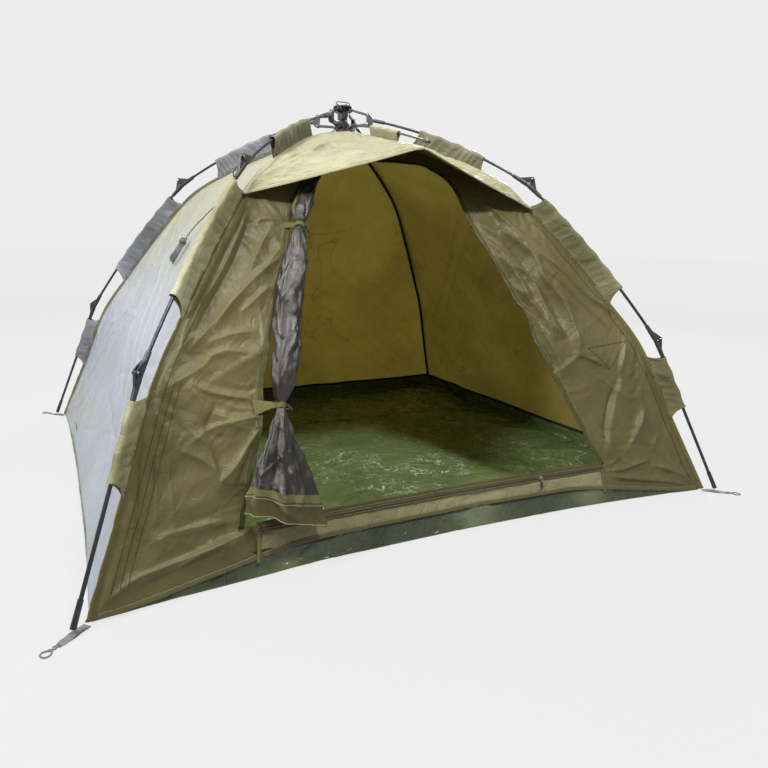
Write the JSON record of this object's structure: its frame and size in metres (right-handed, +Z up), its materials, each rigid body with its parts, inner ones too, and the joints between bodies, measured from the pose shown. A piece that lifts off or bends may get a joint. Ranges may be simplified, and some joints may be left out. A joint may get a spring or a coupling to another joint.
{
  "type": "pop up tent",
  "caption": "Instant dome tent on a folding umbrella frame: a hub, hinged pole legs, an open peaked door and a tub floor.",
  "frame": {"origin": "on the ground, under the middle of the hub", "axes": "+Z up; the door faces -Y; +X is to the right when facing the door from outside"},
  "size_m": [2.2264, 2.0692, 1.3627],
  "materials": {
    "canopy_fabric": "satin coated polyester, olive",
    "side_fabric": "satin coated polyester, silver-sage",
    "floor_sheet": "glossy woven polyethylene, green",
    "mesh_fabric": "dark mesh",
    "webbing": "grey woven webbing",
    "guy_cord": "dark braided cord",
    "black_plastic": "moulded black plastic",
    "pole_steel": "dark coated steel tube",
    "strut_rod": "black glass-fibre rod",
    "zip": "coil zip",
    "zip_metal": "coated zip slider"
  },
  "bodies": {
    "tent_body": {"canopy_front": "canopy_fabric", "canopy_back": "canopy_fabric", "canopy_left": "side_fabric", "canopy_right": "side_fabric", "floor_tub": "floor_sheet", "pole_sleeves": "canopy_fabric", "awning": "canopy_fabric", "awning_pole": "strut_rod", "awning_pole_sleeve": "canopy_fabric", "rolled_door": "mesh_fabric", "door_ties": "canopy_fabric", "foot_straps": "webbing", "roof_hooks": "black_plastic", "guy_line": "guy_cord", "guy_line_hank": "guy_cord", "sill_zip": "zip"},
    "zip_slider": {"zip_slider": "zip_metal"},
    "hub": {"hub_crown": "black_plastic", "hub_pull_loop": "guy_cord"},
    "runner": {"hub_runner": "black_plastic"},
    "upper_arm_front_left": {"upper_arm_front_left": "black_plastic"},
    "lower_arm_front_left": {"lower_arm_front_left": "black_plastic"},
    "upper_leg_front_left": {"leg_bracket_front_left": "black_plastic", "upper_pole_front_left": "pole_steel", "upper_elbow_fork_front_left": "black_plastic"},
    "middle_leg_front_left": {"upper_elbow_knuckle_front_left": "black_plastic", "middle_pole_front_left": "pole_steel", "lower_elbow_fork_front_left": "black_plastic"},
    "lower_leg_front_left": {"lower_elbow_knuckle_front_left": "black_plastic", "lower_pole_front_left": "pole_steel"},
    "upper_arm_front_right": {"upper_arm_front_right": "black_plastic"},
    "lower_arm_front_right": {"lower_arm_front_right": "black_plastic"},
    "upper_leg_front_right": {"leg_bracket_front_right": "black_plastic", "upper_pole_front_right": "pole_steel", "upper_elbow_fork_front_right": "black_plastic"},
    "middle_leg_front_right": {"upper_elbow_knuckle_front_right": "black_plastic", "middle_pole_front_right": "pole_steel", "lower_elbow_fork_front_right": "black_plastic"},
    "lower_leg_front_right": {"lower_elbow_knuckle_front_right": "black_plastic", "lower_pole_front_right": "pole_steel"},
    "upper_arm_back_left": {"upper_arm_back_left": "black_plastic"},
    "lower_arm_back_left": {"lower_arm_back_left": "black_plastic"},
    "upper_leg_back_left": {"leg_bracket_back_left": "black_plastic", "upper_pole_back_left": "pole_steel", "upper_elbow_fork_back_left": "black_plastic"},
    "middle_leg_back_left": {"upper_elbow_knuckle_back_left": "black_plastic", "middle_pole_back_left": "pole_steel", "lower_elbow_fork_back_left": "black_plastic"},
    "lower_leg_back_left": {"lower_elbow_knuckle_back_left": "black_plastic", "lower_pole_back_left": "pole_steel"},
    "upper_arm_back_right": {"upper_arm_back_right": "black_plastic"},
    "lower_arm_back_right": {"lower_arm_back_right": "black_plastic"},
    "upper_leg_back_right": {"leg_bracket_back_right": "black_plastic", "upper_pole_back_right": "pole_steel", "upper_elbow_fork_back_right": "black_plastic"},
    "middle_leg_back_right": {"upper_elbow_knuckle_back_right": "black_plastic", "middle_pole_back_right": "pole_steel", "lower_elbow_fork_back_right": "black_plastic"},
    "lower_leg_back_right": {"lower_elbow_knuckle_back_right": "black_plastic", "lower_pole_back_right": "pole_steel"}
  },
  "joints": [
    {"name": "hub_fold", "type": "slide", "parent": "tent_body", "child": "hub", "axis": [0, 0, 1], "range_m": [-0.48, 0], "deforming": ["canopy_front", "canopy_back", "canopy_left", "canopy_right", "pole_sleeves", "awning", "awning_pole", "awning_pole_sleeve", "rolled_door", "door_ties", "roof_hooks", "guy_line", "guy_line_hank", "sill_zip"]},
    {"name": "sill_zip_slide", "type": "hinge", "parent": "tent_body", "child": "zip_slider", "pos_m": [0, -12.0488, 0.122], "axis": [0, 0, 1], "range_deg": [-1.1, 3.8]},
    {"name": "runner_slide", "type": "slide", "parent": "hub", "child": "runner", "axis": [0, 0, 1], "range_m": [-0.0882, 0]},
    {"name": "upper_arm_hinge_front_left", "type": "hinge", "parent": "hub", "child": "upper_arm_front_left", "pos_m": [-0.02198, -0.02041, 1.33], "axis": [-0.6805, 0.7328, 0], "range_deg": [-39.3, 0]},
    {"name": "lower_arm_hinge_front_left", "type": "hinge", "parent": "runner", "child": "lower_arm_front_left", "pos_m": [-0.02198, -0.02041, 1.27], "axis": [-0.6805, 0.7328, 0], "range_deg": [0, 74.05]},
    {"name": "bracket_hinge_front_left", "type": "hinge", "parent": "upper_arm_front_left", "child": "upper_leg_front_left", "pos_m": [-0.07328, -0.06805, 1.309], "axis": [-0.6805, 0.7328, 0], "range_deg": [-17.3, 0]},
    {"name": "upper_elbow_hinge_front_left", "type": "hinge", "parent": "upper_leg_front_left", "child": "middle_leg_front_left", "pos_m": [-0.52346, -0.48607, 1.07925], "axis": [-0.6805, 0.7328, 0], "range_deg": [0, 165.3]},
    {"name": "lower_elbow_hinge_front_left", "type": "hinge", "parent": "middle_leg_front_left", "child": "lower_leg_front_left", "pos_m": [-0.87266, -0.81033, 0.53971], "axis": [-0.6805, 0.7328, 0], "range_deg": [0, 190.3]},
    {"name": "upper_arm_hinge_front_right", "type": "hinge", "parent": "hub", "child": "upper_arm_front_right", "pos_m": [0.02198, -0.02041, 1.33], "axis": [-0.6805, -0.7328, 0], "range_deg": [-39.3, 0]},
    {"name": "lower_arm_hinge_front_right", "type": "hinge", "parent": "runner", "child": "lower_arm_front_right", "pos_m": [0.02198, -0.02041, 1.27], "axis": [-0.6805, -0.7328, 0], "range_deg": [0, 74.05]},
    {"name": "bracket_hinge_front_right", "type": "hinge", "parent": "upper_arm_front_right", "child": "upper_leg_front_right", "pos_m": [0.07328, -0.06805, 1.309], "axis": [-0.6805, -0.7328, 0], "range_deg": [-17.3, 0]},
    {"name": "upper_elbow_hinge_front_right", "type": "hinge", "parent": "upper_leg_front_right", "child": "middle_leg_front_right", "pos_m": [0.52346, -0.48607, 1.07925], "axis": [-0.6805, -0.7328, 0], "range_deg": [0, 165.3]},
    {"name": "lower_elbow_hinge_front_right", "type": "hinge", "parent": "middle_leg_front_right", "child": "lower_leg_front_right", "pos_m": [0.87266, -0.81033, 0.53971], "axis": [-0.6805, -0.7328, 0], "range_deg": [0, 190.3]},
    {"name": "upper_arm_hinge_back_left", "type": "hinge", "parent": "hub", "child": "upper_arm_back_left", "pos_m": [-0.02198, 0.02041, 1.33], "axis": [0.6805, 0.7328, 0], "range_deg": [-39.3, 0]},
    {"name": "lower_arm_hinge_back_left", "type": "hinge", "parent": "runner", "child": "lower_arm_back_left", "pos_m": [-0.02198, 0.02041, 1.27], "axis": [0.6805, 0.7328, 0], "range_deg": [0, 74.05]},
    {"name": "bracket_hinge_back_left", "type": "hinge", "parent": "upper_arm_back_left", "child": "upper_leg_back_left", "pos_m": [-0.07328, 0.06805, 1.309], "axis": [0.6805, 0.7328, 0], "range_deg": [-17.3, 0]},
    {"name": "upper_elbow_hinge_back_left", "type": "hinge", "parent": "upper_leg_back_left", "child": "middle_leg_back_left", "pos_m": [-0.52346, 0.48607, 1.07925], "axis": [0.6805, 0.7328, 0], "range_deg": [0, 165.3]},
    {"name": "lower_elbow_hinge_back_left", "type": "hinge", "parent": "middle_leg_back_left", "child": "lower_leg_back_left", "pos_m": [-0.87266, 0.81033, 0.53971], "axis": [0.6805, 0.7328, 0], "range_deg": [0, 190.3]},
    {"name": "upper_arm_hinge_back_right", "type": "hinge", "parent": "hub", "child": "upper_arm_back_right", "pos_m": [0.02198, 0.02041, 1.33], "axis": [0.6805, -0.7328, 0], "range_deg": [-39.3, 0]},
    {"name": "lower_arm_hinge_back_right", "type": "hinge", "parent": "runner", "child": "lower_arm_back_right", "pos_m": [0.02198, 0.02041, 1.27], "axis": [0.6805, -0.7328, 0], "range_deg": [0, 74.05]},
    {"name": "bracket_hinge_back_right", "type": "hinge", "parent": "upper_arm_back_right", "child": "upper_leg_back_right", "pos_m": [0.07328, 0.06805, 1.309], "axis": [0.6805, -0.7328, 0], "range_deg": [-17.3, 0]},
    {"name": "upper_elbow_hinge_back_right", "type": "hinge", "parent": "upper_leg_back_right", "child": "middle_leg_back_right", "pos_m": [0.52346, 0.48607, 1.07925], "axis": [0.6805, -0.7328, 0], "range_deg": [0, 165.3]},
    {"name": "lower_elbow_hinge_back_right", "type": "hinge", "parent": "middle_leg_back_right", "child": "lower_leg_back_right", "pos_m": [0.87266, 0.81033, 0.53971], "axis": [0.6805, -0.7328, 0], "range_deg": [0, 190.3]}
  ],
  "couplings": [
    {"joint": "runner_slide", "follows": "hub_fold", "ratio": 0.18273},
    {"joint": "upper_arm_hinge_front_left", "follows": "hub_fold", "rad_per_m": 1.4181},
    {"joint": "lower_arm_hinge_front_left", "follows": "hub_fold", "rad_per_m": -2.6817},
    {"joint": "bracket_hinge_front_left", "follows": "hub_fold", "rad_per_m": 0.61814},
    {"joint": "upper_elbow_hinge_front_left", "follows": "hub_fold", "rad_per_m": -5.9996},
    {"joint": "lower_elbow_hinge_front_left", "follows": "hub_fold", "rad_per_m": -6.9086},
    {"joint": "upper_arm_hinge_front_right", "follows": "hub_fold", "rad_per_m": 1.4181},
    {"joint": "lower_arm_hinge_front_right", "follows": "hub_fold", "rad_per_m": -2.6817},
    {"joint": "bracket_hinge_front_right", "follows": "hub_fold", "rad_per_m": 0.61814},
    {"joint": "upper_elbow_hinge_front_right", "follows": "hub_fold", "rad_per_m": -5.9996},
    {"joint": "lower_elbow_hinge_front_right", "follows": "hub_fold", "rad_per_m": -6.9086},
    {"joint": "upper_arm_hinge_back_left", "follows": "hub_fold", "rad_per_m": 1.4181},
    {"joint": "lower_arm_hinge_back_left", "follows": "hub_fold", "rad_per_m": -2.6817},
    {"joint": "bracket_hinge_back_left", "follows": "hub_fold", "rad_per_m": 0.61814},
    {"joint": "upper_elbow_hinge_back_left", "follows": "hub_fold", "rad_per_m": -5.9996},
    {"joint": "lower_elbow_hinge_back_left", "follows": "hub_fold", "rad_per_m": -6.9086},
    {"joint": "upper_arm_hinge_back_right", "follows": "hub_fold", "rad_per_m": 1.4181},
    {"joint": "lower_arm_hinge_back_right", "follows": "hub_fold", "rad_per_m": -2.6817},
    {"joint": "bracket_hinge_back_right", "follows": "hub_fold", "rad_per_m": 0.61814},
    {"joint": "upper_elbow_hinge_back_right", "follows": "hub_fold", "rad_per_m": -5.9996},
    {"joint": "lower_elbow_hinge_back_right", "follows": "hub_fold", "rad_per_m": -6.9086}
  ]
}
